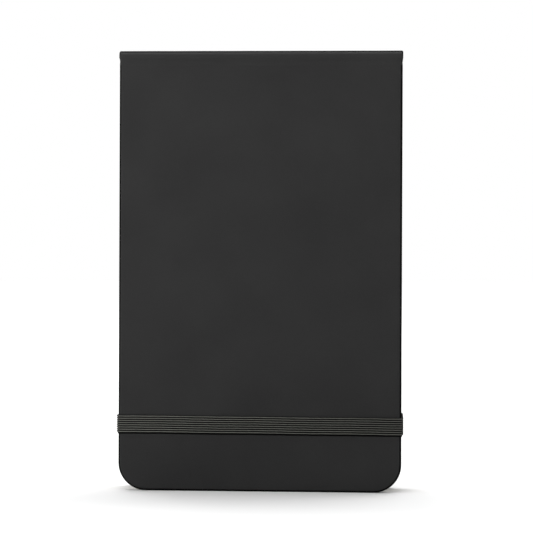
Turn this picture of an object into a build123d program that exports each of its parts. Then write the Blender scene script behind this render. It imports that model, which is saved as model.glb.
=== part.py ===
from build123d import *
import os

# A top-bound pocket notebook: two leatherette-wrapped boards and a spine board around a sewn block
# of leaves, held shut by a flat elastic band. It stands on the bottom edges of its covers.
# X runs across the page, the front cover faces -Y, Z is up, and the origin is under the middle.
# All sizes are in millimetres.

# Case: the two covers and the spine
COVER_WIDTH = 90.0
COVER_HEIGHT = 140.0
THICKNESS = 14.0
CORNER_RADIUS = 8.8
SKIN = 0.5
BOARD = 1.8
TURN_IN = 0.4
TURN_IN_WIDTH = 13.0
OUTER_EDGE_RADIUS = 0.9
INNER_EDGE_RADIUS = 0.6

# Paper
LEAF_PITCH = 0.1
LEAF_GAP = 0.01
ENDPAPER = 0.12
LEAVES_PER_SIGNATURE = 8
SIGNATURES = 10
SIGNATURE_GAP = 0.02
PAGE_WIDTH = 85.0
PAGE_BOTTOM = 2.5
PAGE_CORNER_RADIUS = 6.3
PASTEDOWN_MARGIN = 2.8

# Spine
BLOCK_TOP = 137.0
SPINE_BOARD_BOTTOM = 137.6
SPINE_NOSE_RADIUS = 1.6
SPINE_OVERHANG = 0.15
SPINE_TURN_IN = 0.33
SPINE_TURN_IN_LENGTH = 11.0
SPINE_TURN_IN_MARGIN = 0.6
HINGE_HEIGHT = 138.4
HINGE_CLEARANCE = 3.1
GROOVE_DEPTH = 0.3
GROOVE_SHOULDER = 0.25
GROOVE_INSET = 0.2

# Sewing, lining and headbands
THREAD_STATIONS = 5
THREAD_SPACING = 17.0
THREAD_RADIUS = 0.18
KERF_WIDTH = 0.5
KERF_DEPTH = 0.45
FOLD_RADIUS = 0.3
LINING = 0.2
LINING_LENGTH = 74.0
LINING_CLEARANCE = 0.02
HEADBAND_RADIUS = 0.45
HEADBAND_TAPE = 0.12
HEADBAND_TAPE_LENGTH = 5.0

# Elastic band
BAND_WIDTH = 6.0
BAND_THICKNESS = 0.6
BAND_CLEARANCE = 0.03
BAND_HEIGHT = 21.3
BAND_OUTER_RADIUS = 1.1
BAND_INNER_RADIUS = 0.5
SLIT_POSITION = 36.5
SLIT_WIDTH = 0.8
SLIT_MARGIN = 0.2
TAB_LENGTH = 10.0
TAB_RECESS = 0.65

# Worked-out sizes
HALF_WIDTH = COVER_WIDTH / 2
HALF_THICKNESS = THICKNESS / 2
BOARD_OUTER = HALF_THICKNESS - SKIN
BOARD_INNER = BOARD_OUTER - BOARD
TURN_IN_INNER = BOARD_INNER - TURN_IN
PASTEDOWN_INNER = TURN_IN_INNER - ENDPAPER
PANEL_TOP = HINGE_HEIGHT - HINGE_CLEARANCE
WINDOW_HALF_WIDTH = HALF_WIDTH - TURN_IN_WIDTH
HALF_PAGE = PAGE_WIDTH / 2
SIGNATURE_PITCH = LEAF_PITCH * LEAVES_PER_SIGNATURE
HALF_BLOCK = SIGNATURE_PITCH * SIGNATURES / 2
ROOT_BOTTOM = PANEL_TOP + LEAF_PITCH
SPINE_HALF_LENGTH = HALF_WIDTH + SPINE_OVERHANG
SPINE_BOARD_HALF_LENGTH = SPINE_HALF_LENGTH - SKIN
SPINE_BOARD_TOP = COVER_HEIGHT - SKIN

FRONT = -1
BACK = 1


def panel(half_width, bottom, top, corner_radius, y_low, y_high):
    """A flat sheet between two Y planes, with its two bottom corners rounded."""
    outline = Pos(0, (bottom + top) / 2) * Rectangle(2 * half_width, top - bottom)
    if corner_radius:
        outline = fillet(outline.vertices().group_by(Axis.Y)[0], corner_radius)
    return Pos(0, y_low, 0) * extrude(Plane.XZ * outline, y_low - y_high)


def block(x_low, x_high, y_low, y_high, z_low, z_high):
    """A plain box between six planes."""
    size = Box(x_high - x_low, y_high - y_low, z_high - z_low, align=(Align.MIN,) * 3)
    return Pos(x_low, y_low, z_low) * size


def sided(side, near, far):
    """Two Y planes at these distances from the middle, low one first, on the front or back side."""
    return sorted((side * near, side * far))


def free_edges(solid, y):
    """The edges of the face at y that run round a cover, leaving out the one at its hinge."""
    around = solid.edges().filter_by_position(Axis.Y, y - 0.01, y + 0.01)
    return [edge for edge in around if edge.center().Z < PANEL_TOP - 0.01]


def slits(y_low, y_high):
    """The two openings that the elastic's ends pass through."""
    half_height = BAND_WIDTH / 2 + SLIT_MARGIN
    half_slit = SLIT_WIDTH / 2
    low, high = BAND_HEIGHT - half_height, BAND_HEIGHT + half_height
    return [
        block(x - half_slit, x + half_slit, y_low, y_high, low, high)
        for x in (-SLIT_POSITION, SLIT_POSITION)
    ]


def tab_recesses():
    """Shallow pockets in the back board's inner face, where the elastic's ends lie flat."""
    half_height = BAND_WIDTH / 2 + SLIT_MARGIN
    low, high = BAND_HEIGHT - half_height, BAND_HEIGHT + half_height
    reach = SLIT_POSITION + SLIT_WIDTH / 2
    start = SLIT_POSITION - TAB_LENGTH - SLIT_MARGIN
    floor = BOARD_INNER + TAB_RECESS
    return [
        block(start, reach, BOARD_INNER, floor, low, high),
        block(-reach, -start, BOARD_INNER, floor, low, high),
    ]


def cover_board(side):
    """The greyboard inside a cover."""
    y_low, y_high = sided(side, BOARD_INNER, BOARD_OUTER)
    board = panel(HALF_WIDTH - SKIN, SKIN, PANEL_TOP, CORNER_RADIUS - SKIN, y_low, y_high)
    if side == BACK:
        board -= [*slits(y_low, y_high), *tab_recesses()]
    return board


def cover_skin(side):
    """The leatherette round a cover: outer face, three wrapped edges and the strip turned in behind."""
    y_low, y_high = sided(side, TURN_IN_INNER, HALF_THICKNESS)
    skin = panel(HALF_WIDTH, 0, PANEL_TOP, CORNER_RADIUS, y_low, y_high)
    skin = fillet(free_edges(skin, side * HALF_THICKNESS), OUTER_EDGE_RADIUS)
    skin = fillet(free_edges(skin, side * TURN_IN_INNER), INNER_EDGE_RADIUS)
    board_low, board_high = sided(side, BOARD_INNER, BOARD_OUTER)
    skin -= panel(
        HALF_WIDTH - SKIN, SKIN, PANEL_TOP, CORNER_RADIUS - SKIN, board_low, board_high
    )
    window_low, window_high = sided(side, TURN_IN_INNER, BOARD_INNER)
    skin -= panel(WINDOW_HALF_WIDTH, TURN_IN_WIDTH, PANEL_TOP, 0, window_low, window_high)
    if side == BACK:
        skin -= slits(BOARD_OUTER, HALF_THICKNESS)
    return skin


def pastedown(side):
    """The endpaper glued inside a cover: over the turned-in strip, and down onto the board within it."""
    y_low, y_high = sided(side, PASTEDOWN_INNER, BOARD_INNER)
    half_width = HALF_WIDTH - PASTEDOWN_MARGIN
    sheet = panel(
        half_width, PASTEDOWN_MARGIN, PANEL_TOP, PAGE_CORNER_RADIUS, y_low, y_high
    )
    over_low, over_high = sided(side, TURN_IN_INNER, BOARD_INNER)
    border = panel(half_width, PASTEDOWN_MARGIN, PANEL_TOP, PAGE_CORNER_RADIUS, over_low, over_high)
    border -= panel(WINDOW_HALF_WIDTH, TURN_IN_WIDTH, PANEL_TOP, 0, over_low, over_high)
    dish_low, dish_high = sided(side, PASTEDOWN_INNER, BOARD_INNER - ENDPAPER)
    dish = panel(
        WINDOW_HALF_WIDTH - ENDPAPER, TURN_IN_WIDTH + ENDPAPER, PANEL_TOP, 0, dish_low, dish_high
    )
    return sheet - border - dish


def hinge_strip(side):
    """The bare leatherette between a board and the spine, pressed into a shallow groove."""
    outer = side * HALF_THICKNESS
    inner = side * (HALF_THICKNESS - SKIN)
    dip = side * -GROOVE_DEPTH
    low, high = PANEL_TOP, SPINE_BOARD_BOTTOM
    middle = (low + high) / 2
    shoulder_low, shoulder_high = low + GROOVE_SHOULDER, high - GROOVE_SHOULDER

    def groove_line(y):
        return [
            Line((y, low), (y, shoulder_low)),
            ThreePointArc((y, shoulder_low), (y + dip, middle), (y, shoulder_high)),
            Line((y, shoulder_high), (y, high)),
        ]

    ends = [Line((outer, low), (inner, low)), Line((outer, high), (inner, high))]
    profile = make_face(Plane.YZ * Wire(groove_line(outer) + groove_line(inner) + ends))
    half_length = HALF_WIDTH - GROOVE_INSET
    return Pos(-half_length, 0, 0) * extrude(profile, 2 * half_length, dir=(1, 0, 0))


def nosed_bar(half_length, half_depth, bottom, top, nose_radius):
    """A bar along X whose two long top edges are rounded."""
    bar = block(-half_length, half_length, -half_depth, half_depth, bottom, top)
    top_edges = bar.edges().filter_by(Axis.X).group_by(Axis.Z)[-1]
    return fillet(top_edges, nose_radius)


def spine_board():
    """The stiffener along the spine, above the block."""
    nose = SPINE_NOSE_RADIUS - SKIN
    return nosed_bar(
        SPINE_BOARD_HALF_LENGTH, BOARD_OUTER, SPINE_BOARD_BOTTOM, SPINE_BOARD_TOP, nose
    )


def spine_skin():
    """The leatherette over the spine board, wrapped round its ends and turned in under it."""
    skin = nosed_bar(
        SPINE_HALF_LENGTH, HALF_THICKNESS, SPINE_BOARD_BOTTOM, COVER_HEIGHT, SPINE_NOSE_RADIUS
    )
    skin -= spine_board()
    start = SPINE_BOARD_HALF_LENGTH - SPINE_TURN_IN_LENGTH
    reach = BOARD_OUTER - SPINE_TURN_IN_MARGIN
    bottom = SPINE_BOARD_BOTTOM - SPINE_TURN_IN
    for low, high in ((start, SPINE_HALF_LENGTH), (-SPINE_HALF_LENGTH, -start)):
        skin += block(low, high, -reach, reach, bottom, SPINE_BOARD_BOTTOM)
    return skin


def kerfs():
    """The saw cuts across the block's spine that the sewing thread lies in."""
    reach = HALF_BLOCK + 1
    return [
        block(
            x - KERF_WIDTH / 2,
            x + KERF_WIDTH / 2,
            -reach,
            reach,
            BLOCK_TOP - KERF_DEPTH,
            BLOCK_TOP,
        )
        for x in thread_positions()
    ]


def thread_positions():
    """Where the sewing thread crosses the spine, evenly spaced about the middle."""
    middle = (THREAD_STATIONS - 1) / 2
    return [(n - middle) * THREAD_SPACING for n in range(THREAD_STATIONS)]


def signature(number):
    """One folded and sewn section of leaves, counted from the front; its fold is at the top."""
    start = (number - 1) * SIGNATURE_PITCH - HALF_BLOCK
    section = panel(
        HALF_PAGE,
        PAGE_BOTTOM,
        BLOCK_TOP,
        PAGE_CORNER_RADIUS,
        start,
        start + SIGNATURE_PITCH - SIGNATURE_GAP,
    )
    fold = section.edges().filter_by(Axis.X).group_by(Axis.Z)[-1]
    return fillet(fold, FOLD_RADIUS) - kerfs()


def leaf(number):
    """One leaf of the first section, below its bound edge."""
    start = (number - 1) * LEAF_PITCH - HALF_BLOCK
    return panel(
        HALF_PAGE, PAGE_BOTTOM, PANEL_TOP, PAGE_CORNER_RADIUS, start, start + LEAF_PITCH - LEAF_GAP
    )


def front_flyleaf():
    """The loose half of the front endpaper, below its bound edge."""
    outer = -HALF_BLOCK - ENDPAPER
    return panel(
        HALF_PAGE, PAGE_BOTTOM, PANEL_TOP, PAGE_CORNER_RADIUS, outer, -HALF_BLOCK - LEAF_GAP
    )


def back_flyleaf():
    """The loose half of the back endpaper, which stays on the block."""
    return panel(
        HALF_PAGE, PAGE_BOTTOM, BLOCK_TOP, PAGE_CORNER_RADIUS, HALF_BLOCK, HALF_BLOCK + ENDPAPER
    )


def first_fold():
    """The sewn fold of the first section, with the bound edge of the front flyleaf glued to it."""
    outer = -HALF_BLOCK - ENDPAPER
    inner = SIGNATURE_PITCH - SIGNATURE_GAP - HALF_BLOCK
    return block(-HALF_PAGE, HALF_PAGE, outer, inner, ROOT_BOTTOM, BLOCK_TOP) - kerfs()


def sewing_thread():
    """The thread runs that tie the sections together, one in each kerf."""
    height = BLOCK_TOP - KERF_DEPTH / 2
    run = extrude(Plane.XZ * Circle(THREAD_RADIUS), 2 * HALF_BLOCK)
    return Compound(children=[Pos(x, HALF_BLOCK, height) * run for x in thread_positions()])


def spine_lining():
    """The gauze glued over the block's sewn edge."""
    half_length = LINING_LENGTH / 2
    bottom = BLOCK_TOP + LINING_CLEARANCE
    return block(
        -half_length, half_length, -HALF_BLOCK, HALF_BLOCK, bottom, bottom + LINING
    )


def headband(end):
    """The rolled band at one end of the block's spine, with the tape that holds it."""
    x = end * (HALF_PAGE + HEADBAND_RADIUS + LINING_CLEARANCE)
    height = BLOCK_TOP + LINING_CLEARANCE + HEADBAND_TAPE - HEADBAND_RADIUS
    roll = extrude(Plane.XZ * Circle(HEADBAND_RADIUS), 2 * HALF_BLOCK)
    tape_low, tape_high = sorted((x, end * (HALF_PAGE - HEADBAND_TAPE_LENGTH)))
    bottom = BLOCK_TOP + LINING_CLEARANCE
    tape = block(tape_low, tape_high, -HALF_BLOCK, HALF_BLOCK, bottom, bottom + HEADBAND_TAPE)
    return Pos(x, HALF_BLOCK, height) * roll + tape


def elastic_band():
    """The loop that wraps the closed notebook, from one slit in the back cover round to the other."""
    half_width = HALF_WIDTH + BAND_CLEARANCE
    half_depth = HALF_THICKNESS + BAND_CLEARANCE
    outer = RectangleRounded(
        2 * (half_width + BAND_THICKNESS), 2 * (half_depth + BAND_THICKNESS), BAND_OUTER_RADIUS
    )
    inner = RectangleRounded(2 * half_width, 2 * half_depth, BAND_INNER_RADIUS)
    loop = Pos(0, 0, BAND_HEIGHT - BAND_WIDTH / 2) * extrude(outer - inner, BAND_WIDTH)
    start = SLIT_POSITION - BAND_THICKNESS / 2
    gap = block(-start, start, 0, THICKNESS, 0, COVER_HEIGHT)
    return loop - gap


def elastic_end(side):
    """One end of the elastic, through its slit and flat against the inside of the back board."""
    half_band = BAND_WIDTH / 2
    low, high = BAND_HEIGHT - half_band, BAND_HEIGHT + half_band
    outside = HALF_THICKNESS + BAND_CLEARANCE
    reach = SLIT_POSITION + BAND_THICKNESS / 2
    start = SLIT_POSITION - TAB_LENGTH
    tab_inner = BOARD_INNER + BAND_CLEARANCE
    end = block(reach - BAND_THICKNESS, reach, tab_inner, outside, low, high)
    end += block(start, reach, tab_inner, tab_inner + BAND_THICKNESS, low, high)
    return end if side > 0 else mirror(end, about=Plane.YZ)


def all_parts():
    """Every node's name and shape."""
    parts = {
        "front_board": cover_board(FRONT),
        "front_cover_skin": cover_skin(FRONT),
        "front_pastedown": pastedown(FRONT),
        "front_hinge_strip": hinge_strip(FRONT),
        "back_board": cover_board(BACK),
        "back_cover_skin": cover_skin(BACK),
        "back_pastedown": pastedown(BACK),
        "back_hinge_strip": hinge_strip(BACK),
        "spine_board": spine_board(),
        "spine_skin": spine_skin(),
        "spine_lining": spine_lining(),
        "headband_left": headband(-1),
        "headband_right": headband(1),
        "sewing_thread": sewing_thread(),
        "front_flyleaf": front_flyleaf(),
        "back_flyleaf": back_flyleaf(),
        "first_fold": first_fold(),
        "elastic_band": elastic_band(),
        "elastic_end_left": elastic_end(-1),
        "elastic_end_right": elastic_end(1),
    }
    for number in range(1, LEAVES_PER_SIGNATURE + 1):
        parts[f"leaf_{number:02d}"] = leaf(number)
    for number in range(2, SIGNATURES + 1):
        parts[f"signature_{number:02d}"] = signature(number)
    return parts


os.makedirs("parts", exist_ok=True)
for name, shape in all_parts().items():
    export_step(shape, f"parts/{name}.step")
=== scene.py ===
import math

import bmesh
import bpy
import numpy as np
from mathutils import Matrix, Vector


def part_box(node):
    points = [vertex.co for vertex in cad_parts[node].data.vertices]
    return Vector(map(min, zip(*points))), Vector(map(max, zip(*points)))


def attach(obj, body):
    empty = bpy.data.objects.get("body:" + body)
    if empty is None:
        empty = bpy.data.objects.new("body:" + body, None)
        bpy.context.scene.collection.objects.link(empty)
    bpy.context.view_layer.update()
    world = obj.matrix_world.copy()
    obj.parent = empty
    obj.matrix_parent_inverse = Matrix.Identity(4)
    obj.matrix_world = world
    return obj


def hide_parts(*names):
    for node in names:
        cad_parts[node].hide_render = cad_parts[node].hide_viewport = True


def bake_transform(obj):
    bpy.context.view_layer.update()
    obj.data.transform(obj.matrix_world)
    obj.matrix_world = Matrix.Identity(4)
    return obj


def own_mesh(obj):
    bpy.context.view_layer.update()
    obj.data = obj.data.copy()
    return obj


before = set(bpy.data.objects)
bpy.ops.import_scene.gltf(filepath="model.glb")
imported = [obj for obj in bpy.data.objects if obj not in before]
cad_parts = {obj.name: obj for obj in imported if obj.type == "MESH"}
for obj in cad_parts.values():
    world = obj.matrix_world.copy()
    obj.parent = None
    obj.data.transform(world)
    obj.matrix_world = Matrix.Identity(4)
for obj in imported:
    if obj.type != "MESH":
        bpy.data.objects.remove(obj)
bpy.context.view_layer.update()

MM = 0.001
SEED = 20


def in_mm(length):
    """A length from the frame in millimetres, to the nearest hundredth."""
    return round(length / MM, 2)


cover_low, cover_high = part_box("back_cover_skin")
spine_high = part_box("spine_skin")[1]
leaf_low, leaf_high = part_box("leaf_01")
section_low, section_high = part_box("signature_02")
endpaper_low, endpaper_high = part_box("back_flyleaf")
band_low, band_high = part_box("elastic_band")

# Sizes of the notebook in millimetres, from the frame. X runs across the page, the front cover
# faces -Y and Z is up.
HALF_WIDTH = in_mm(cover_high.x)
HALF_THICK = in_mm(cover_high.y)
PANEL_TOP = in_mm(cover_high.z)
PANEL_THICK = in_mm(cover_high.y - cover_low.y)
HEIGHT = in_mm(spine_high.z)
SPINE_OVERHANG = in_mm(spine_high.x - cover_high.x)
SPINE_BOTTOM = in_mm(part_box("spine_board")[0].z)
HALF_PAGE = in_mm(leaf_high.x)
PAGE_BOTTOM = in_mm(leaf_low.z)
HALF_BLOCK = in_mm(-leaf_low.y)
LEAF_PITCH = in_mm(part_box("leaf_02")[0].y - leaf_low.y)
SECTION_PITCH = in_mm(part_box("signature_03")[0].y - section_low.y)
BLOCK_TOP = in_mm(section_high.z)
ENDPAPER = in_mm(endpaper_high.y - endpaper_low.y)
BAND_LOW = in_mm(band_low.z)
BAND_WIDTH = in_mm(band_high.z - band_low.z)
HEADBAND_TAPE_LENGTH = in_mm(leaf_high.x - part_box("headband_right")[0].x)

# The same notebook's sizes and counts that no box gives
CORNER = 8.8
OUTER_EDGE = 0.9
INNER_EDGE = 0.6
TURN_IN_WIDTH = 13.0
SPINE_TURN_IN_LENGTH = 11.0
NOSE = 1.6
PAGE_CORNER = 6.3
LEAVES = 8
SECTIONS = 10
BAND_GAP = 0.03
SLIT_X = 36.5
SLIT_WIDTH = 0.8
SLIT_MARGIN = 0.2

# Finer shape, which only this model has
LEATHER = 0.42
UNEVENNESS = 0.02
PLEAT_DEPTH = 0.1
PLEAT_INSET = 1.2
PLEAT_REACH = 0.7
GROOVE_DIP = 0.05
GROOVE_NARROWING = 0.1
JOINT_EDGE = 0.35
JOINT_FOLD = 0.5
SPINE_END = 0.45
# How far the painted edge shade reaches, in millimetres: its width in from the edge, the depth
# where it starts, and its reach down from the spine's top
RIM_WIDTH = 0.6
RIM_START = 0.06
RIM_TOP = 0.62
LEAF_THICK = 0.084
LEAF_TOP = 136.7
BAND_BASE = 0.18
BAND_RIB = 0.42
BAND_BEND = 0.75
BAND_SAG = 0.36
BAND_SKEW = 0.14
RIBS = 8
# Width of the flat strip along the band's lower edge, painted near-black as the shadow under the
# band, in millimetres
SHADOW_STRIP = 0.42

FRONT = -1
BACK = 1

rng = np.random.default_rng(SEED)


# ---------------------------------------------------------------- mesh helpers

def make_object(name, verts, faces, smooth=True):
    """A mesh object from points in millimetres."""
    mesh = bpy.data.meshes.new(name)
    mesh.from_pydata([tuple(c * MM for c in v) for v in verts], [], faces)
    mesh.validate()
    obj = bpy.data.objects.new(name, mesh)
    bpy.context.scene.collection.objects.link(obj)
    fix_normals(obj)
    for polygon in mesh.polygons:
        polygon.use_smooth = smooth
    return obj


def fix_normals(obj):
    """Merges doubled points and points every face outwards."""
    bm = bmesh.new()
    bm.from_mesh(obj.data)
    bmesh.ops.remove_doubles(bm, verts=bm.verts, dist=0.002 * MM)
    bmesh.ops.recalc_face_normals(bm, faces=bm.faces)
    bm.to_mesh(obj.data)
    bm.free()


def bake_modifiers(obj):
    """Replaces the object's mesh by its mesh with the modifiers applied."""
    depsgraph = bpy.context.evaluated_depsgraph_get()
    mesh = bpy.data.meshes.new_from_object(obj.evaluated_get(depsgraph))
    obj.modifiers.clear()
    obj.data = mesh


def smooth_by_angle(obj, degrees):
    """Smooth shading, with the edges sharper than this angle kept sharp."""
    bm = bmesh.new()
    bm.from_mesh(obj.data)
    limit = math.radians(degrees)
    for face in bm.faces:
        face.smooth = True
    for edge in bm.edges:
        edge.smooth = len(edge.link_faces) == 2 and edge.calc_face_angle(0) < limit
    bm.to_mesh(obj.data)
    bm.free()


def orient_outwards(obj, side):
    """Turns an open sheet's normals away from the block; side is FRONT or BACK."""
    bm = bmesh.new()
    bm.from_mesh(obj.data)
    outer = max(bm.faces, key=lambda f: side * f.calc_center_median().y)
    if outer.normal.y * side < 0:
        bmesh.ops.reverse_faces(bm, faces=bm.faces)
    bm.to_mesh(obj.data)
    bm.free()


def thicken(obj, thickness):
    """Gives an open sheet its thickness, inwards."""
    modifier = obj.modifiers.new("thickness", "SOLIDIFY")
    modifier.thickness = thickness * MM
    modifier.offset = -1.0
    modifier.use_even_offset = True
    bake_modifiers(obj)


def joined(objects):
    """Moves the meshes of several objects into the first one."""
    bm = bmesh.new()
    for obj in objects:
        bm.from_mesh(obj.data)
    bm.to_mesh(objects[0].data)
    bm.free()
    for obj in objects[1:]:
        bpy.data.objects.remove(obj)
    return objects[0]


def keep_rest(obj):
    """Stores each point's place at rest in millimetres, and how far each face turns to Y.

    The materials read both, so a pattern stays on the piece when it bends.
    """
    attribute = obj.data.attributes.new("rest_mm", "FLOAT_VECTOR", "POINT")
    points = np.array([v.co for v in obj.data.vertices], dtype=np.float32) / MM
    attribute.data.foreach_set("vector", points.ravel())
    lean = obj.data.attributes.new("rest_normal_y", "FLOAT", "FACE")
    normals = np.array([abs(p.normal.y) for p in obj.data.polygons], dtype=np.float32)
    lean.data.foreach_set("value", normals)


def ramp(value, low, high):
    """0 at low and below, 1 at high and above, smooth between."""
    share = min(max((value - low) / (high - low), 0.0), 1.0)
    return share * share * (3 - 2 * share)


def quarter(steps):
    """(sine, cosine) pairs over a quarter turn, both ends included."""
    angles = [0.5 * math.pi * i / steps for i in range(steps + 1)]
    return [(math.sin(a), math.cos(a)) for a in angles]


def grid_faces(rows, columns, closed_columns=False):
    """Quads over a grid of points stored row by row."""
    faces = []
    for i in range(rows - 1):
        for j in range(columns if closed_columns else columns - 1):
            a = i * columns + j
            b = i * columns + (j + 1) % columns
            faces.append((a, b, b + columns, a + columns))
    return faces


def tube_faces(rows, columns):
    """The faces of a closed bar over rows of points, each row a loop, with a cap at each end."""
    last = (rows - 1) * columns
    caps = [tuple(range(columns)), tuple(last + k for k in range(columns))]
    return grid_faces(rows, columns, closed_columns=True) + caps


# ---------------------------------------------------------------- leather case

SIDE_STEPS = 56
ARC_STEPS = 14
BOTTOM_STEPS = 44
EDGE_STEPS = 9


def cover_outline(inset):
    """Points (x, z) down a cover's left edge, round both corners and up its right edge."""
    half = HALF_WIDTH - inset
    radius = max(CORNER - inset, 0.35)
    side_end = inset + radius
    points = [
        (-half, PANEL_TOP + (side_end - PANEL_TOP) * i / SIDE_STEPS) for i in range(SIDE_STEPS)
    ]
    for sine, cosine in quarter(ARC_STEPS)[:-1]:
        points.append((-half + radius * (1 - cosine), inset + radius * (1 - sine)))
    mirrored = [(-x, z) for x, z in points]
    straight = half - radius
    for i in range(BOTTOM_STEPS + 1):
        points.append((-straight + 2 * straight * i / BOTTOM_STEPS, inset))
    return points + mirrored[::-1]


def edge_profile():
    """(inset, depth) pairs from the outer face, round the edge and over the turned-in strip."""
    pairs = [(inset, 0.0) for inset in (5.5, 3.6, 2.2, 1.35)]
    for sine, cosine in quarter(EDGE_STEPS):
        pairs.append((OUTER_EDGE * (1 - sine), OUTER_EDGE * (1 - cosine)))
    pairs.append((0.0, 1.5))
    inner_start = PANEL_THICK - INNER_EDGE
    for sine, cosine in quarter(EDGE_STEPS):
        pairs.append((INNER_EDGE * (1 - cosine), inner_start + INNER_EDGE * sine))
    return pairs + [(inset, PANEL_THICK) for inset in (0.9, 1.3, 1.8, 2.4, 4.0, 8.0, TURN_IN_WIDTH)]


def cover_leather(name, side):
    """The leatherette round one cover, wrapped over its edges and pleated at the corners inside."""
    half_count = SIDE_STEPS + ARC_STEPS
    verts = []
    profile = edge_profile()
    for inset, depth in profile:
        ring = cover_outline(inset)
        pleats = 0.0
        if depth == PANEL_THICK:
            pleats = PLEAT_DEPTH * math.exp(-(((inset - PLEAT_INSET) / PLEAT_REACH) ** 2))
        for k, (x, z) in enumerate(ring):
            in_arc = SIDE_STEPS <= k <= half_count or k >= len(ring) - half_count
            near_corner = in_arc and z < CORNER + 1
            fold = max(pleats * math.cos(k * 2.3), 0.0) if near_corner else 0.0
            verts.append((x, side * (HALF_THICK - depth - fold), z))
    count = len(ring)
    faces = grid_faces(len(profile), count)

    # The middle of the outer face: a row across for each pair of points of the innermost outline
    outline = cover_outline(profile[0][0])
    rows = []
    for k in range(half_count):
        left, right = outline[k], outline[count - 1 - k]
        row = [k]
        for j in range(1, BOTTOM_STEPS):
            row.append(len(verts))
            x = left[0] + (right[0] - left[0]) * j / BOTTOM_STEPS
            verts.append((x, side * HALF_THICK, left[1]))
        rows.append(row + [count - 1 - k])
    rows.append([half_count + j for j in range(BOTTOM_STEPS + 1)])
    for above, below in zip(rows, rows[1:]):
        for j in range(BOTTOM_STEPS):
            faces.append((above[j], above[j + 1], below[j + 1], below[j]))

    verts = [(x, y - side * unevenness(x, z, side * y), z) for x, y, z in verts]
    obj = make_object(name, verts, faces)
    orient_outwards(obj, side)
    thicken(obj, LEATHER)
    return obj


def unevenness(x, z, outward):
    """How far a point of a cover's outer face sinks, in millimetres."""
    if outward < HALF_THICK - 0.05:
        return 0.0
    edge = min(HALF_WIDTH - abs(x), z, PANEL_TOP - z)
    waves = 0.5 * math.sin(0.13 * x + 0.7) * math.cos(0.09 * z + 0.4)
    waves += 0.3 * math.sin(0.31 * x - 0.17 * z)
    return UNEVENNESS * ramp(edge, 1.0, 7.0) * (1 + waves)


def cut_slits(obj):
    """Opens the two slits in the back cover's outer face that the elastic's ends pass through."""
    half_width, half_height = SLIT_WIDTH / 2, BAND_WIDTH / 2 + SLIT_MARGIN
    middle = BAND_LOW + BAND_WIDTH / 2
    cutters = []
    for end in (-1, 1):
        corners = [
            (end * SLIT_X + i * half_width, y, middle + k * half_height)
            for y in (HALF_THICK - 2 * LEATHER, HALF_THICK + 0.5)
            for i, k in ((-1, -1), (1, -1), (1, 1), (-1, 1))
        ]
        cutter = make_object(f"slit_{end}", corners, tube_faces(2, 4), smooth=False)
        modifier = obj.modifiers.new("slit", "BOOLEAN")
        modifier.operation = "DIFFERENCE"
        modifier.solver = "EXACT"
        modifier.object = cutter
        cutters.append(cutter)
    bake_modifiers(obj)
    for cutter in cutters:
        bpy.data.objects.remove(cutter)


def joint_leather(name, side):
    """The bare leatherette between a cover and the spine, with its ends turned in."""
    half = HALF_WIDTH
    straight = half - JOINT_EDGE
    outer = [(-straight + 2 * straight * i / 60, 0.0) for i in range(61)]
    right = [(straight + JOINT_EDGE * s, -JOINT_FOLD * (1 - c)) for s, c in quarter(6)[1:]]
    right += [(half - 0.6, -JOINT_FOLD), (half - 6, -JOINT_FOLD)]
    inner = [((half - 12) * (1 - i / 6), -LEATHER) for i in range(13)]
    left = [(-x, y) for x, y in right][::-1]
    loop = outer + right + inner + left
    rows = 17
    verts = []
    for r in range(rows):
        share = r / (rows - 1)
        arch = math.sin(math.pi * share)
        z = PANEL_TOP + (SPINE_BOTTOM - PANEL_TOP) * share
        dip = GROOVE_DIP * arch ** 1.2
        narrowed = 1 - GROOVE_NARROWING * arch ** 1.2 / half
        for x, y in loop:
            wrinkle = 0.012 * math.sin(1.9 * x + 0.6) * arch
            verts.append((x * narrowed, side * (HALF_THICK - dip + y + wrinkle), z))
    return make_object(name, verts, tube_faces(rows, len(loop)))


def spine_leather(name):
    """The leatherette over the spine board, rounded along its top edges and closed at its ends."""
    rise = [(-HALF_THICK, SPINE_BOTTOM), (-HALF_THICK, SPINE_BOTTOM + 0.4)]
    for sine, cosine in quarter(10):
        rise.append((-HALF_THICK + NOSE * (1 - cosine), HEIGHT - NOSE * (1 - sine)))
    flat = [((HALF_THICK - NOSE) * (i / 5 - 1), HEIGHT) for i in range(1, 10)]
    section = rise + flat + [(-y, z) for y, z in rise][::-1]
    half = HALF_WIDTH + SPINE_OVERHANG
    straight = half - SPINE_END
    ends = [(half - SPINE_END * (1 - s), SPINE_END * (1 - c)) for s, c in quarter(6)]
    stations = [(-x, inset) for x, inset in ends][::-1]
    stations += [(-straight + 2 * straight * i / 60, 0.0) for i in range(1, 60)]
    stations += ends
    middle = (SPINE_BOTTOM + HEIGHT) / 2
    reach = (HEIGHT - SPINE_BOTTOM) / 2
    verts = []
    for x, inset in stations:
        for y, z in section:
            up = z - middle
            new_z = middle + up * (reach - inset) / reach if up > 0 else z
            dimple = 0.006 + 0.006 * math.sin(0.4 * x) if z > SPINE_BOTTOM + 0.3 else 0.0
            verts.append((x, y * (HALF_THICK - inset) / HALF_THICK, new_z - dimple))
    columns = len(section)
    last = (len(stations) - 1) * columns
    faces = grid_faces(len(stations), columns)
    faces += [tuple(range(columns)), tuple(last + k for k in range(columns))]
    obj = make_object(name, verts, faces)
    orient_outwards(obj, BACK)
    thicken(obj, LEATHER)
    return obj


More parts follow.
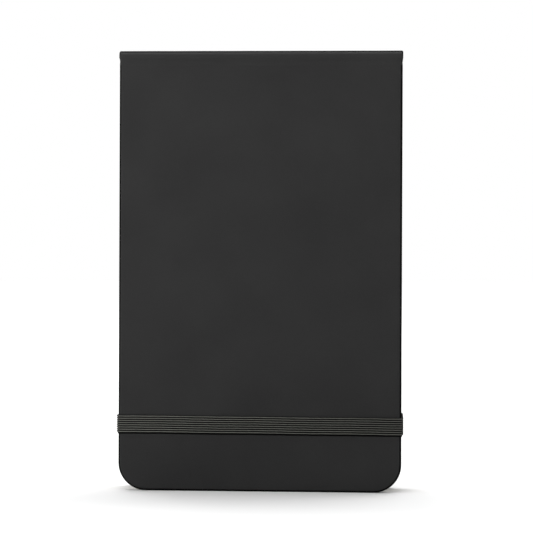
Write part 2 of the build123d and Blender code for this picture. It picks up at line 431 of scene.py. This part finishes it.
def spine_turn_in(name, end):
    """The leatherette turned in under one end of the spine board; end is -1 at the left."""
    inner = HALF_WIDTH - SPINE_TURN_IN_LENGTH
    outer = HALF_WIDTH + SPINE_OVERHANG - 0.05
    reach, low, high = 5.9, SPINE_BOTTOM - 0.31, SPINE_BOTTOM - 0.01
    edge = [(reach - 0.12, low), (reach - 0.03, low + 0.05), (reach, low + 0.15), (reach, high)]
    section = edge + [(-y, z) for y, z in edge][::-1]
    steps = 12
    verts = []
    for i in range(steps + 1):
        x = end * (inner + (outer - inner) * i / steps)
        fold = 0.03 * math.sin(1.1 * i) * math.sin(math.pi * i / steps)
        verts += [(x, y, z - fold if z < high else z) for y, z in section]
    return make_object(name, verts, tube_faces(steps + 1, len(section)))


def paint_edge_shade(obj, material, has_bottom=False, has_top=False):
    """Gives the faces where the leather turns over an outer edge, and over the spine's top, a
    near-black copy of the leatherette with little shine: painted shade along the edges.
    """
    obj.data.materials.append(material)
    for polygon in obj.data.polygons:
        x, y, z = (abs(c) / MM for c in polygon.center)
        depth = HALF_THICK - y
        inset = HALF_WIDTH - x
        if has_bottom:
            inset = min(inset, z)
            if x > HALF_WIDTH - CORNER and z < CORNER:
                inset = CORNER - math.hypot(x - (HALF_WIDTH - CORNER), CORNER - z)
        turned = inset < RIM_WIDTH and RIM_START < depth < OUTER_EDGE
        over_top = has_top and z > HEIGHT - RIM_TOP and depth < NOSE - 0.05
        if turned or over_top:
            polygon.material_index = 1


# ---------------------------------------------------------------- paper

BEND_ROWS = 26
BEND_LOW = 125.0
SIDEWAYS_DRIFT = 0.035
LEAF_DRIFT = 0.03
LOOSE_LEAF_DRIFT = 0.04
DRIFT_REACH = 25.0


def sheet_rows(top, bend_rows):
    """Heights of a leaf's rows, closer together where it bends."""
    low = PAGE_BOTTOM + PAGE_CORNER
    rows = [low + (BEND_LOW - low) * i / 12 for i in range(13)]
    return rows + [BEND_LOW + (top - BEND_LOW) * (i + 1) / bend_rows for i in range(bend_rows)]


def leaf_points(y, shift_x, shift_z, top, bend_rows):
    """One face of a leaf: rows of points from side to side, from the top down to the corners."""
    columns = 8
    half = HALF_PAGE
    rows = [(half, z) for z in reversed(sheet_rows(top, bend_rows))]
    for sine, cosine in quarter(6)[1:]:
        rows.append((half - PAGE_CORNER * (1 - cosine), PAGE_BOTTOM + PAGE_CORNER * (1 - sine)))
    points = []
    for reach, z in rows:
        loose = min(max((PANEL_TOP - z) / DRIFT_REACH, 0.0), 1.0)
        for j in range(columns + 1):
            x = -reach + 2 * reach * j / columns
            points.append((x + shift_x * loose, y, z + shift_z * loose))
    return points, len(rows), columns + 1


def leaf_solid(y_low, y_high, top, shift_x=0.0, shift_z=0.0, bend_rows=1):
    """Points and faces of one thin closed leaf; the shifts put its loose end out of line."""
    front, rows, columns = leaf_points(y_low, shift_x, shift_z, top, bend_rows)
    back = leaf_points(y_high, shift_x, shift_z, top, bend_rows)[0]
    offset = len(front)
    faces = [tuple(reversed(f)) for f in grid_faces(rows, columns)]
    faces += [tuple(k + offset for k in f) for f in grid_faces(rows, columns)]
    rim = list(range(columns))
    rim += [r * columns + columns - 1 for r in range(1, rows)]
    rim += [(rows - 1) * columns + j for j in range(columns - 2, -1, -1)]
    rim += [r * columns for r in range(rows - 2, 0, -1)]
    for a, b in zip(rim, rim[1:] + rim[:1]):
        faces.append((a, b, b + offset, a + offset))
    return front + back, faces


def paper_object(name, leaves):
    """One object of several leaves, each (points, faces)."""
    verts, faces = [], []
    for leaf_verts, leaf_faces in leaves:
        start = len(verts)
        verts += leaf_verts
        faces += [tuple(k + start for k in f) for f in leaf_faces]
    obj = make_object(name, verts, faces, smooth=False)
    keep_rest(obj)
    return obj


def section_leaves(number):
    """The leaves of one sewn section, each a little out of line with the next."""
    start = (number - 1) * SECTION_PITCH - HALF_BLOCK
    drift_x, drift_z = rng.normal(0, SIDEWAYS_DRIFT), rng.normal(0, LEAF_DRIFT)
    leaves = []
    for n in range(LEAVES):
        y = start + n * LEAF_PITCH * 0.965
        dx = drift_x + rng.normal(0, LEAF_DRIFT)
        dz = drift_z + rng.normal(0, LEAF_DRIFT)
        top = BLOCK_TOP - 0.12 - 0.03 * abs(n - (LEAVES - 1) / 2)
        last = n == LEAVES - 1
        leaves.append(leaf_solid(y, start + SECTION_PITCH if last else y + LEAF_THICK, top, dx, dz))
    return leaves


def first_fold(name):
    """The sewn fold that the first section's leaves turn from."""
    low, high, step = LEAF_TOP + 0.01, BLOCK_TOP, 0.15
    front, back = -HALF_BLOCK - 0.1, -HALF_BLOCK + 0.77
    section = [(front, low), (front, high - step), (front + 0.12, high)]
    section += [(back - 0.13, high), (back, high - step), (back, low)]
    verts = [(x, y, z) for x in (-HALF_PAGE, HALF_PAGE) for y, z in section]
    return make_object(name, verts, tube_faces(2, len(section)), smooth=False)


# ---------------------------------------------------------------- elastic

def band_path():
    """(x, y, outward x, outward y) along the band's inner line, from slit to slit."""
    reach_x, reach_y = HALF_WIDTH + BAND_GAP, HALF_THICK + BAND_GAP
    straight_x, straight_y = reach_x - BAND_BEND, reach_y - BAND_BEND
    laid = SLIT_X + 0.45
    right = [(SLIT_X - 0.05, reach_y - 0.55, 0.2, 1.0), (SLIT_X + 0.05, reach_y - 0.2, 0.45, 1.0)]
    right += [(laid, reach_y, 0.1, 1.0)]
    right += [(laid + (straight_x - laid) * i / 9, reach_y, 0, 1) for i in range(1, 9)]
    for s, c in quarter(6):
        right.append((straight_x + BAND_BEND * s, straight_y + BAND_BEND * c, s, c))
    right += [(reach_x, straight_y * (1 - i / 6), 1, 0) for i in range(1, 12)]
    for s, c in quarter(6):
        right.append((straight_x + BAND_BEND * c, -straight_y - BAND_BEND * s, c, -s))
    front = [(straight_x * (1 - i / 60), -reach_y, 0, -1) for i in range(1, 120)]
    left = [(-x, y, -nx, ny) for x, y, nx, ny in right][::-1]
    return right + front + left


def elastic_band(name):
    """The ribbed band, with a thin flat strip along its lower edge, which its material paints
    near-black as the shadow under the band.

    Its front run sags a little, and it wanders by the weave's small waviness all the way round.
    """
    per_rib = 8
    section = [(0.0, 0.1), (0.1, 0.2), (SHADOW_STRIP - 0.06, 0.2)]
    rib_width = (BAND_WIDTH - SHADOW_STRIP) / RIBS
    for k in range(RIBS * per_rib + 1):
        lift = math.sin(math.pi * (k % per_rib) / per_rib)
        section.append((SHADOW_STRIP + k * rib_width / per_rib, BAND_BASE + BAND_RIB * lift))
    section += [(BAND_WIDTH, 0.06), (BAND_WIDTH * 0.5, 0.0), (0.0, 0.06)]
    path = band_path()
    verts = []
    travelled = 0.0
    before = path[0]
    for x, y, nx, ny in path:
        length = math.hypot(nx, ny)
        travelled += math.hypot(x - before[0], y - before[1])
        before = (x, y)
        wander = 0.03 * math.sin(0.21 * travelled) + 0.015 * math.sin(0.83 * travelled + 1.0)
        wander -= (BAND_SAG + BAND_SKEW * x / HALF_WIDTH) * ramp(-y, -HALF_THICK, HALF_THICK)
        for u, h in section:
            verts.append((x + nx / length * h, y + ny / length * h, BAND_LOW + u + wander))
    band = make_object(name, verts, tube_faces(len(path), len(section)))
    across = band.data.attributes.new("across_mm", "FLOAT", "POINT")
    widths = np.array([u for _ in path for u, _ in section], dtype=np.float32)
    across.data.foreach_set("value", widths)
    return band


# ---------------------------------------------------------------- headbands

def headband_tape(name, end):
    """The tape that holds one headband, glued over the block's sewn edge."""
    inner, outer = HALF_PAGE - HEADBAND_TAPE_LENGTH, HALF_PAGE + 0.47
    low, high = BLOCK_TOP + 0.02, BLOCK_TOP + 0.14
    section = [(inner, low), (outer, low), (outer, high)]
    section += [(inner + 0.05, high), (inner, high - 0.04)]
    rows = 25
    verts = []
    for r in range(rows):
        y = -HALF_BLOCK + 2 * HALF_BLOCK * r / (rows - 1)
        sag = 0.012 * (r % 2)
        verts += [(end * x, y, z - sag if z > low else z) for x, z in section]
    return make_object(name, verts, tube_faces(rows, len(section)))


def headband_roll(name, end):
    """A woven headband: a roll wrapped in turns of thread."""
    centre_x = end * (HALF_PAGE + 0.47)
    centre_z = BLOCK_TOP - 0.31
    around, wraps, per_wrap = 16, 21, 6
    rows = wraps * per_wrap + 1
    verts = []
    for r in range(rows):
        share = r / (rows - 1)
        y = -HALF_BLOCK + 2 * HALF_BLOCK * share
        radius = 0.385 + 0.06 * abs(math.sin(math.pi * share * wraps)) ** 0.6
        for j in range(around):
            a = 2 * math.pi * j / around
            verts.append((centre_x + radius * math.cos(a), y, centre_z + radius * math.sin(a)))
    return make_object(name, verts, tube_faces(rows, around))


# ---------------------------------------------------------------- materials

# Base colours, linear
LEATHER_DARK = (0.0212, 0.021, 0.0212)
LEATHER_LIGHT = (0.0272, 0.027, 0.027)
LEATHER_SPECK = (0.043, 0.043, 0.0428)
# Near-black painted shade, between the elastic's ribs and on the shadow strip under the band
ELASTIC_PAINTED_SHADE = (0.002, 0.002, 0.002)
ELASTIC_DARK = (0.105, 0.107, 0.094)
ELASTIC_LIGHT = (0.22, 0.223, 0.198)
ELASTIC_FIBRE = (0.31, 0.313, 0.285)
PAGE_TONE = (0.72, 0.665, 0.53)
ENDPAPER_TONE = (0.68, 0.63, 0.505)
RULE_COLOUR = (0.42, 0.44, 0.47)
BOARD_DARK = (0.2, 0.185, 0.165)
BOARD_LIGHT = (0.4, 0.38, 0.34)
THREAD_COLOURS = ((0.75, 0.71, 0.6), (0.5, 0.46, 0.37))
GAUZE_COLOURS = ((0.7, 0.66, 0.56), (0.34, 0.31, 0.25))
HEADBAND_COLOURS = ((0.05, 0.05, 0.052), (0.014, 0.014, 0.015))

# How far the elastic is painted darker from its left end to its right: painted shade, as the light
# falls from the left
ELASTIC_SIDE_SHADE = 0.75

# The pages' ruled lines, in millimetres, and the streaks between the leaves on the cut edges
RULE_PITCH = 6.0
RULE_TOP = 123.0
RULE_BOTTOM = 8.0
RULE_STRENGTH = 0.55
EDGE_STRETCH = (0.02, 5.0, 0.02)
EDGE_STREAKS = 0.55


def shade(colour, lift=1.0):
    """A colour socket's value, from a colour made this much lighter or darker."""
    return tuple(c * lift for c in colour) + (1,)


class Material:
    """A small helper for building one node material; texture scales are per millimetre."""

    def __init__(self, name):
        self.material = bpy.data.materials.new(name)
        self.material.use_nodes = True
        self.nodes = self.material.node_tree.nodes
        self.links = self.material.node_tree.links
        self.shader = self.nodes["Principled BSDF"]

    def node(self, kind, **settings):
        """A new node with these properties."""
        made = self.nodes.new(kind)
        for key, value in settings.items():
            setattr(made, key, value)
        return made

    def set(self, node, socket, value):
        """Sets or links one input."""
        target = node.inputs[socket]
        if isinstance(value, bpy.types.NodeSocket):
            self.links.new(value, target)
        else:
            target.default_value = value

    def math(self, operation, a, b=0.0):
        """One sum."""
        made = self.node("ShaderNodeMath", operation=operation)
        self.set(made, 0, a)
        self.set(made, 1, b)
        return made.outputs[0]

    def noise(self, place, scale, detail=2.0, roughness=0.5):
        """Noise from 0 to 1."""
        made = self.node("ShaderNodeTexNoise")
        self.set(made, "Vector", place)
        self.set(made, "Scale", scale)
        self.set(made, "Detail", detail)
        self.set(made, "Roughness", roughness)
        return made.outputs["Fac"]

    def voronoi(self, place, scale, feature):
        """Distance in a pattern of cells."""
        made = self.node("ShaderNodeTexVoronoi", feature=feature)
        self.set(made, "Vector", place)
        self.set(made, "Scale", scale)
        return made.outputs["Distance"]

    def spread(self, value, low, high, to_low, to_high):
        """Maps low..high to to_low..to_high, without going past them."""
        made = self.node("ShaderNodeMapRange")
        for socket, v in enumerate((value, low, high, to_low, to_high)):
            self.set(made, socket, v)
        return made.outputs[0]

    def mix(self, share, a, b):
        """A colour this share of the way from a to b."""
        made = self.node("ShaderNodeMix", data_type="RGBA")
        for socket, v in ((0, share), (6, a), (7, b)):
            self.set(made, socket, v)
        return made.outputs[2]

    def bump(self, height, strength, distance, under=None):
        """A bumped normal, over another one if given; the distance is in metres."""
        made = self.node("ShaderNodeBump")
        self.set(made, "Height", height)
        self.set(made, "Strength", strength)
        self.set(made, "Distance", distance)
        if under is not None:
            self.set(made, "Normal", under)
        return made.outputs["Normal"]

    def attribute(self, name):
        """A number stored on the mesh."""
        return self.node("ShaderNodeAttribute", attribute_name=name).outputs["Fac"]

    def place(self, from_cad):
        """The point's place at rest in millimetres, on a CAD node or on a piece made here."""
        if not from_cad:
            return self.node("ShaderNodeAttribute", attribute_name="rest_mm").outputs["Vector"]
        made = self.node("ShaderNodeVectorMath", operation="SCALE")
        self.set(made, 0, self.node("ShaderNodeTexCoord").outputs["Object"])
        self.set(made, "Scale", 1 / MM)
        return made.outputs[0]

    def split(self, vector):
        """The three parts of a vector."""
        made = self.node("ShaderNodeSeparateXYZ")
        self.set(made, 0, vector)
        return made.outputs


def leatherette(name, lift=1.0, specular=0.32):
    """Black PU: a fine pebbled grain in shallow relief, faint mottling and a satin polish."""
    m = Material(name)
    place = m.place(from_cad=False)
    broad = m.noise(place, 0.05, 3.0)
    patch = m.noise(place, 0.35, 4.0, 0.6)
    fine = m.noise(place, 2.6, 3.0, 0.6)
    dark, light, speck = (shade(c, lift) for c in (LEATHER_DARK, LEATHER_LIGHT, LEATHER_SPECK))
    colour = m.mix(m.spread(broad, 0.3, 0.7, 0.0, 1.0), dark, light)
    colour = m.mix(m.spread(fine, 0.35, 0.75, 0.0, 0.35), colour, speck)
    m.set(m.shader, "Base Color", colour)
    rough = m.spread(patch, 0.3, 0.7, 0.5, 0.6)
    m.set(m.shader, "Roughness", m.math("ADD", rough, m.spread(fine, 0.3, 0.7, -0.04, 0.04)))
    m.set(m.shader, "Specular IOR Level", specular)
    pebbles = m.voronoi(place, 3.4, "SMOOTH_F1")
    creases = m.voronoi(place, 3.4, "DISTANCE_TO_EDGE")
    normal = m.bump(m.noise(place, 0.09, 2.0), 0.25, 0.00025)
    normal = m.bump(m.spread(creases, 0.0, 0.09, 0.0, 1.0), 0.35, 0.00003, normal)
    normal = m.bump(pebbles, 0.25, 0.00004, normal)
    m.set(m.shader, "Normal", m.bump(fine, 0.3, 0.00002, normal))
    return m.material


def elastic_fabric(name, from_cad=False):
    """Ribbed elastic: yarn turns across each rib, painted near-black as shade between the ribs and
    on the strip along the lower edge, and painted darker towards the right as shade.
    """
    m = Material(name)
    place = m.place(from_cad)
    x, y, z = m.split(place)[:3]
    slant = m.math("ADD", m.math("ADD", x, y), m.math("MULTIPLY", z, 0.55))
    turns = m.math("SINE", m.math("MULTIPLY", slant, 17.0))
    fibre = m.noise(place, 9.0, 3.0, 0.7)
    patch = m.noise(place, 0.6, 2.0)
    across = m.math("SUBTRACT", z, BAND_LOW) if from_cad else m.attribute("across_mm")
    rib = m.math("DIVIDE", m.math("SUBTRACT", across, SHADOW_STRIP), (BAND_WIDTH - SHADOW_STRIP) / RIBS)
    rib = m.math("ABSOLUTE", m.math("SINE", m.math("MULTIPLY", rib, math.pi)))
    # Below the shadow strip's edge the rib is zeroed, so that strip is painted near-black as shadow
    rib = m.math("MULTIPLY", rib, m.math("GREATER_THAN", across, SHADOW_STRIP))
    dark = shade(ELASTIC_DARK)
    colour = m.mix(m.spread(turns, -1.0, 1.0, 0.0, 1.0), dark, shade(ELASTIC_LIGHT))
    colour = m.mix(m.spread(fibre, 0.35, 0.75, 0.0, 0.5), colour, shade(ELASTIC_FIBRE))
    # Painted shade: darker towards the right end, as the light falls from the left
    side_shade = m.math("MULTIPLY", m.spread(x, -HALF_WIDTH, HALF_WIDTH, 0.0, 1.0), ELASTIC_SIDE_SHADE)
    colour = m.mix(side_shade, colour, dark)
    # Painted shade: near-black in the valleys between the ribs and on the strip along the lower
    # edge
    colour = m.mix(m.spread(rib, 0.74, 1.0, 0.0, 1.0), shade(ELASTIC_PAINTED_SHADE), colour)
    m.set(m.shader, "Base Color", colour)
    m.set(m.shader, "Roughness", m.spread(patch, 0.3, 0.7, 0.45, 0.58))
    m.set(m.shader, "Specular IOR Level", 0.12)
    m.set(m.shader, "Sheen Weight", 0.03)
    m.set(m.shader, "Sheen Roughness", 0.5)
    m.set(m.shader, "Normal", m.bump(fibre, 0.4, 0.00003, m.bump(turns, 0.5, 0.00005)))
    return m.material


def page_marks(m, place, tone, colour):
    """Adds the ruled lines on a page's faces, and the streaks between leaves on its cut edges."""
    flat = m.math("GREATER_THAN", m.attribute("rest_normal_y"), 0.5)
    stretch = m.node("ShaderNodeVectorMath", operation="MULTIPLY")
    m.set(stretch, 0, place)
    m.set(stretch, 1, EDGE_STRETCH)
    grain = m.noise(stretch.outputs["Vector"], 1.0, 2.0, 0.6)
    streaks = m.spread(grain, 0.35, 0.65, 0.0, EDGE_STREAKS)
    streaks = m.math("MULTIPLY", streaks, m.math("SUBTRACT", 1.0, flat))
    colour = m.mix(streaks, colour, shade(tone, 0.5))
    z = m.split(place)[2]
    beat = m.math("FRACT", m.math("DIVIDE", z, RULE_PITCH))
    line = m.spread(m.math("ABSOLUTE", m.math("SUBTRACT", beat, 0.5)), 0.012, 0.022, 1.0, 0.0)
    line = m.math("MULTIPLY", line, m.math("LESS_THAN", z, RULE_TOP))
    line = m.math("MULTIPLY", line, m.math("GREATER_THAN", z, RULE_BOTTOM))
    line = m.math("MULTIPLY", m.math("MULTIPLY", line, flat), RULE_STRENGTH)
    return m.mix(line, colour, shade(RULE_COLOUR))


def paper(name, tone, ruled=False, from_cad=False):
    """Uncoated ivory paper, with fibres, slight cockle and, on pages, faint ruled lines."""
    m = Material(name)
    place = m.place(from_cad)
    fibre = m.noise(place, 3.0, 5.0, 0.7)
    cloud = m.noise(place, 0.06, 3.0)
    colour = m.mix(m.spread(cloud, 0.3, 0.7, 0.0, 1.0), shade(tone), shade(tone, 0.9))
    colour = m.mix(m.spread(fibre, 0.45, 0.8, 0.0, 0.35), colour, shade(tone, 0.78))
    if ruled:
        colour = page_marks(m, place, tone, colour)
    m.set(m.shader, "Base Color", colour)
    m.set(m.shader, "Roughness", m.spread(fibre, 0.3, 0.7, 0.8, 0.95))
    m.set(m.shader, "Specular IOR Level", 0.25)
    m.set(m.shader, "Normal", m.bump(fibre, 0.25, 0.00002, m.bump(cloud, 0.2, 0.0003)))
    return m.material


def greyboard(name):
    """Recycled board with dark and light flecks."""
    m = Material(name)
    fleck = m.noise(m.place(from_cad=True), 1.7, 6.0, 0.75)
    share = m.spread(fleck, 0.35, 0.7, 0.0, 1.0)
    m.set(m.shader, "Base Color", m.mix(share, shade(BOARD_DARK), shade(BOARD_LIGHT)))
    m.set(m.shader, "Roughness", m.spread(fleck, 0.3, 0.7, 0.85, 0.97))
    m.set(m.shader, "Normal", m.bump(fleck, 0.4, 0.00006))
    return m.material


def woven(name, colours, pitch, from_cad=True):
    """Plain-woven thread, for the gauze, the headbands and the sewing."""
    light, dark = (shade(c) for c in colours)
    m = Material(name)
    place = m.place(from_cad)
    x, y, z = m.split(place)[:3]
    rate = 2 * math.pi / pitch
    warp = m.math("SINE", m.math("MULTIPLY", x, rate))
    weft = m.math("SINE", m.math("MULTIPLY", m.math("ADD", y, z), rate))
    weave = m.math("MULTIPLY", warp, weft)
    fibre = m.noise(place, 12.0, 3.0, 0.6)
    colour = m.mix(m.spread(weave, -1.0, 1.0, 0.0, 1.0), dark, light)
    colour = m.mix(m.spread(fibre, 0.4, 0.8, 0.0, 0.3), colour, light)
    m.set(m.shader, "Base Color", colour)
    m.set(m.shader, "Roughness", m.spread(fibre, 0.3, 0.7, 0.75, 0.92))
    m.set(m.shader, "Normal", m.bump(fibre, 0.3, 0.00002, m.bump(weave, 0.5, 0.00006)))
    return m.material


def paint(obj, material):
    """Gives the object this one material."""
    obj.data.materials.clear()
    obj.data.materials.append(material)


# ---------------------------------------------------------------- building

leather = leatherette("leatherette_black")
# The spine's leatherette is a copy painted 6% lighter: painted light, for the brighter light on the
# notebook's top
spine_lit_leatherette = leatherette("leatherette_spine_lit", 1.06)
# A near-black copy of the leatherette with little shine, painted along the outer edges as shade
edge_shade_leather = leatherette("leatherette_edge_shade", 0.12, 0.04)
band_cloth = elastic_fabric("elastic_ribbed")
band_cloth_cad = elastic_fabric("elastic_ribbed_cad", from_cad=True)
page_paper = paper("page_paper", PAGE_TONE, ruled=True)
fold_paper = paper("fold_paper", PAGE_TONE)
end_paper = paper("endpaper", ENDPAPER_TONE)
end_paper_cad = paper("endpaper_cad", ENDPAPER_TONE, from_cad=True)
board = greyboard("greyboard")
thread = woven("thread_linen", THREAD_COLOURS, 0.3)
gauze = woven("gauze_cotton", GAUZE_COLOURS, 0.9)
headband_cloth = woven("headband_cotton", HEADBAND_COLOURS, 0.35, from_cad=False)

LEATHER_CREASE = 50
ELASTIC_CREASE = 60

for label, side in (("front", FRONT), ("back", BACK)):
    cover = cover_leather(f"{label}_cover_leather", side)
    if side == BACK:
        cut_slits(cover)
    smooth_by_angle(cover, LEATHER_CREASE)
    keep_rest(cover)
    paint(cover, leather)
    paint_edge_shade(cover, edge_shade_leather, has_bottom=True)
    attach(cover, f"{label}_cover")
    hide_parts(f"{label}_cover_skin")

    strip = joint_leather(f"{label}_joint_leather", side)
    smooth_by_angle(strip, LEATHER_CREASE)
    keep_rest(strip)
    paint(strip, leather)
    paint_edge_shade(strip, edge_shade_leather)
    end = (0, side * HALF_THICK * MM, (PANEL_TOP + 0.1) * MM)
    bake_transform(strip)
    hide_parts(f"{label}_hinge_strip")

turn_ins = [spine_turn_in(f"turn_in_{end}", end) for end in (-1, 1)]
spine = joined([spine_leather("spine_leather")] + turn_ins)
smooth_by_angle(spine, LEATHER_CREASE)
keep_rest(spine)
paint(spine, spine_lit_leatherette)
paint_edge_shade(spine, edge_shade_leather, has_top=True)
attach(spine, "block")
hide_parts("spine_skin")

flyleaf_front, flyleaf_back = -HALF_BLOCK - ENDPAPER, -HALF_BLOCK - 0.02
flyleaf = paper_object(
    "front_flyleaf_sheet",
    [leaf_solid(flyleaf_front, flyleaf_back, LEAF_TOP, bend_rows=BEND_ROWS)],
)
paint(flyleaf, end_paper)
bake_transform(flyleaf)
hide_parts("front_flyleaf")

for number in range(1, LEAVES + 1):
    y = -HALF_BLOCK + (number - 1) * LEAF_PITCH
    dx, dz = rng.normal(0, LOOSE_LEAF_DRIFT), rng.normal(0, LEAF_DRIFT)
    sheet = paper_object(
        f"leaf_{number:02d}_sheet",
        [leaf_solid(y, y + LEAF_THICK, LEAF_TOP, dx, dz, BEND_ROWS)],
    )
    paint(sheet, page_paper)
    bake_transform(sheet)
    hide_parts(f"leaf_{number:02d}")

fold = first_fold("first_section_fold")
keep_rest(fold)
paint(fold, fold_paper)
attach(fold, "block")
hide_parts("first_fold")

for number in range(2, SECTIONS + 1):
    section = paper_object(f"section_{number:02d}_leaves", section_leaves(number))
    paint(section, page_paper)
    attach(section, "block")
    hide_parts(f"signature_{number:02d}")

band = elastic_band("elastic_ribbed_band")
smooth_by_angle(band, ELASTIC_CREASE)
keep_rest(band)
paint(band, band_cloth)
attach(band, "elastic")
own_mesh(band)
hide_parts("elastic_band")

for label, end in (("left", -1), ("right", 1)):
    tape = headband_tape(f"headband_{label}_tape", end)
    roll = joined([headband_roll(f"headband_{label}_roll", end), tape])
    keep_rest(roll)
    paint(roll, headband_cloth)
    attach(roll, "block")
    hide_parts(f"headband_{label}")

cad_paint = {
    "front_board": board,
    "back_board": board,
    "spine_board": board,
    "front_pastedown": end_paper_cad,
    "back_pastedown": end_paper_cad,
    "back_flyleaf": end_paper_cad,
    "sewing_thread": thread,
    "spine_lining": gauze,
    "elastic_end_left": band_cloth_cad,
    "elastic_end_right": band_cloth_cad,
}
for name, material in cad_paint.items():
    for material_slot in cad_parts[name].material_slots:
        material_slot.material = material


# ---------------------------------------------------------------- studio

# The world is plain white to the camera, and this bright to diffuse and to other rays
WORLD_LIGHT = 0.03
WORLD_GLOSS = 0.02

# The floor's radius, where it starts to glow and where it glows in full, in millimetres, and the
# strength of that full glow
FLOOR_RADIUS = 4000.0
GLOW_START = 250.0
GLOW_FULL = 1200.0
FLOOR_GLOW = 1.0

# Name, place, aim and size in metres, and power in watts
LIGHTS = (
    ("key", (-0.7, -0.75, 0.3), (0, 0, 0.1), (0.5, 0.5), 3.6),
    ("top", (-0.2, -0.25, 1.2), (0, 0, 0), (1.2, 0.6), 8.2),
    ("overhead", (0.05, 0.45, 1.1), (0, 0, 0), (1.7, 0.5), 14.5),
    ("left", (-1.0, 0.25, 0.5), (0, 0, 0.06), (0.6, 0.6), 2.8),
    ("right", (1.0, 0.25, 0.5), (0, 0, 0.06), (0.6, 0.6), 2.8),
)


def floor_material():
    """Matt white that glows more with distance, until it meets the white beyond."""
    m = Material("floor_white")
    place = m.place(from_cad=False)
    white = m.mix(m.noise(place, 0.02), (0.9, 0.9, 0.9, 1), (0.92, 0.92, 0.92, 1))
    m.set(m.shader, "Base Color", white)
    m.set(m.shader, "Roughness", 0.9)
    m.set(m.shader, "Specular IOR Level", 0.0)
    m.set(m.shader, "Emission Color", (1, 1, 1, 1))
    reach = m.node("ShaderNodeVectorMath", operation="LENGTH")
    m.set(reach, 0, place)
    glow = m.node("ShaderNodeMapRange", interpolation_type="SMOOTHSTEP")
    steps = (reach.outputs["Value"], GLOW_START, GLOW_FULL, 0.0, FLOOR_GLOW)
    for socket, value in enumerate(steps):
        m.set(glow, socket, value)
    m.set(m.shader, "Emission Strength", glow.outputs[0])
    return m.material


def studio_floor():
    """A white disc under the notebook."""
    rings, spokes = 40, 64
    verts = [(0.0, 0.0, 0.0)]
    for i in range(1, rings + 1):
        radius = FLOOR_RADIUS * (i / rings) ** 2
        for j in range(spokes):
            a = 2 * math.pi * j / spokes
            verts.append((radius * math.cos(a), radius * math.sin(a), 0.0))
    faces = [(0, 1 + j, 1 + (j + 1) % spokes) for j in range(spokes)]
    faces += [tuple(k + 1 for k in face) for face in grid_faces(rings, spokes, closed_columns=True)]
    floor = make_object("studio_floor", verts, faces)
    keep_rest(floor)
    paint(floor, floor_material())
    floor.visible_glossy = False


def area_light(name, place, aim, size, energy):
    """A rectangular light at a place, turned to its aim."""
    data = bpy.data.lights.new(name, "AREA")
    data.shape = "RECTANGLE"
    data.size, data.size_y = size
    data.energy = energy
    light = bpy.data.objects.new(name, data)
    bpy.context.scene.collection.objects.link(light)
    light.location = place
    light.rotation_euler = (Vector(aim) - Vector(place)).to_track_quat("-Z", "Y").to_euler()


def studio_world():
    """White behind everything, but dim as a source of light, which the lights give instead."""
    world = bpy.data.worlds.new("studio")
    world.use_nodes = True
    nodes, links = world.node_tree.nodes, world.node_tree.links
    rays = nodes.new("ShaderNodeLightPath").outputs
    ambient = nodes.new("ShaderNodeMapRange")
    ambient.inputs["To Min"].default_value = WORLD_GLOSS
    ambient.inputs["To Max"].default_value = WORLD_LIGHT
    links.new(rays["Is Diffuse Ray"], ambient.inputs["Value"])
    strength = nodes.new("ShaderNodeMapRange")
    strength.inputs["To Max"].default_value = 1.0
    links.new(ambient.outputs["Result"], strength.inputs["To Min"])
    links.new(rays["Is Camera Ray"], strength.inputs["Value"])
    nodes["Background"].inputs["Color"].default_value = (1, 1, 1, 1)
    links.new(strength.outputs["Result"], nodes["Background"].inputs["Strength"])
    bpy.context.scene.world = world


studio_floor()
for light in LIGHTS:
    area_light(*light)
studio_world()

scene = bpy.context.scene
scene.view_settings.view_transform = "Standard"
scene.view_settings.look = "None"

# The camera stands level in front of the notebook, a little to its right; metres and degrees
CAMERA_DISTANCE = 0.6
CAMERA_YAW = 3.3
CAMERA_ROLL = -0.22
CAMERA_HEIGHT = 0.0765
FRAME_WIDTH = 0.169
FRAME_CENTRE = (0.0021, 0.07144)
SENSOR = 36.0

yaw = math.radians(CAMERA_YAW)
camera_data = bpy.data.cameras.new("camera")
camera_data.sensor_width = SENSOR
camera_data.lens = SENSOR * CAMERA_DISTANCE / FRAME_WIDTH
camera_data.shift_y = (FRAME_CENTRE[1] - CAMERA_HEIGHT) / FRAME_WIDTH
camera_data.clip_start = 0.05
camera_data.clip_end = 20.0
camera = bpy.data.objects.new("camera", camera_data)
scene.collection.objects.link(camera)
camera.location = (
    FRAME_CENTRE[0] + CAMERA_DISTANCE * math.sin(yaw),
    -HALF_THICK * MM - CAMERA_DISTANCE * math.cos(yaw),
    CAMERA_HEIGHT,
)
camera.rotation_euler = (math.radians(90), math.radians(CAMERA_ROLL), yaw)
scene.camera = camera
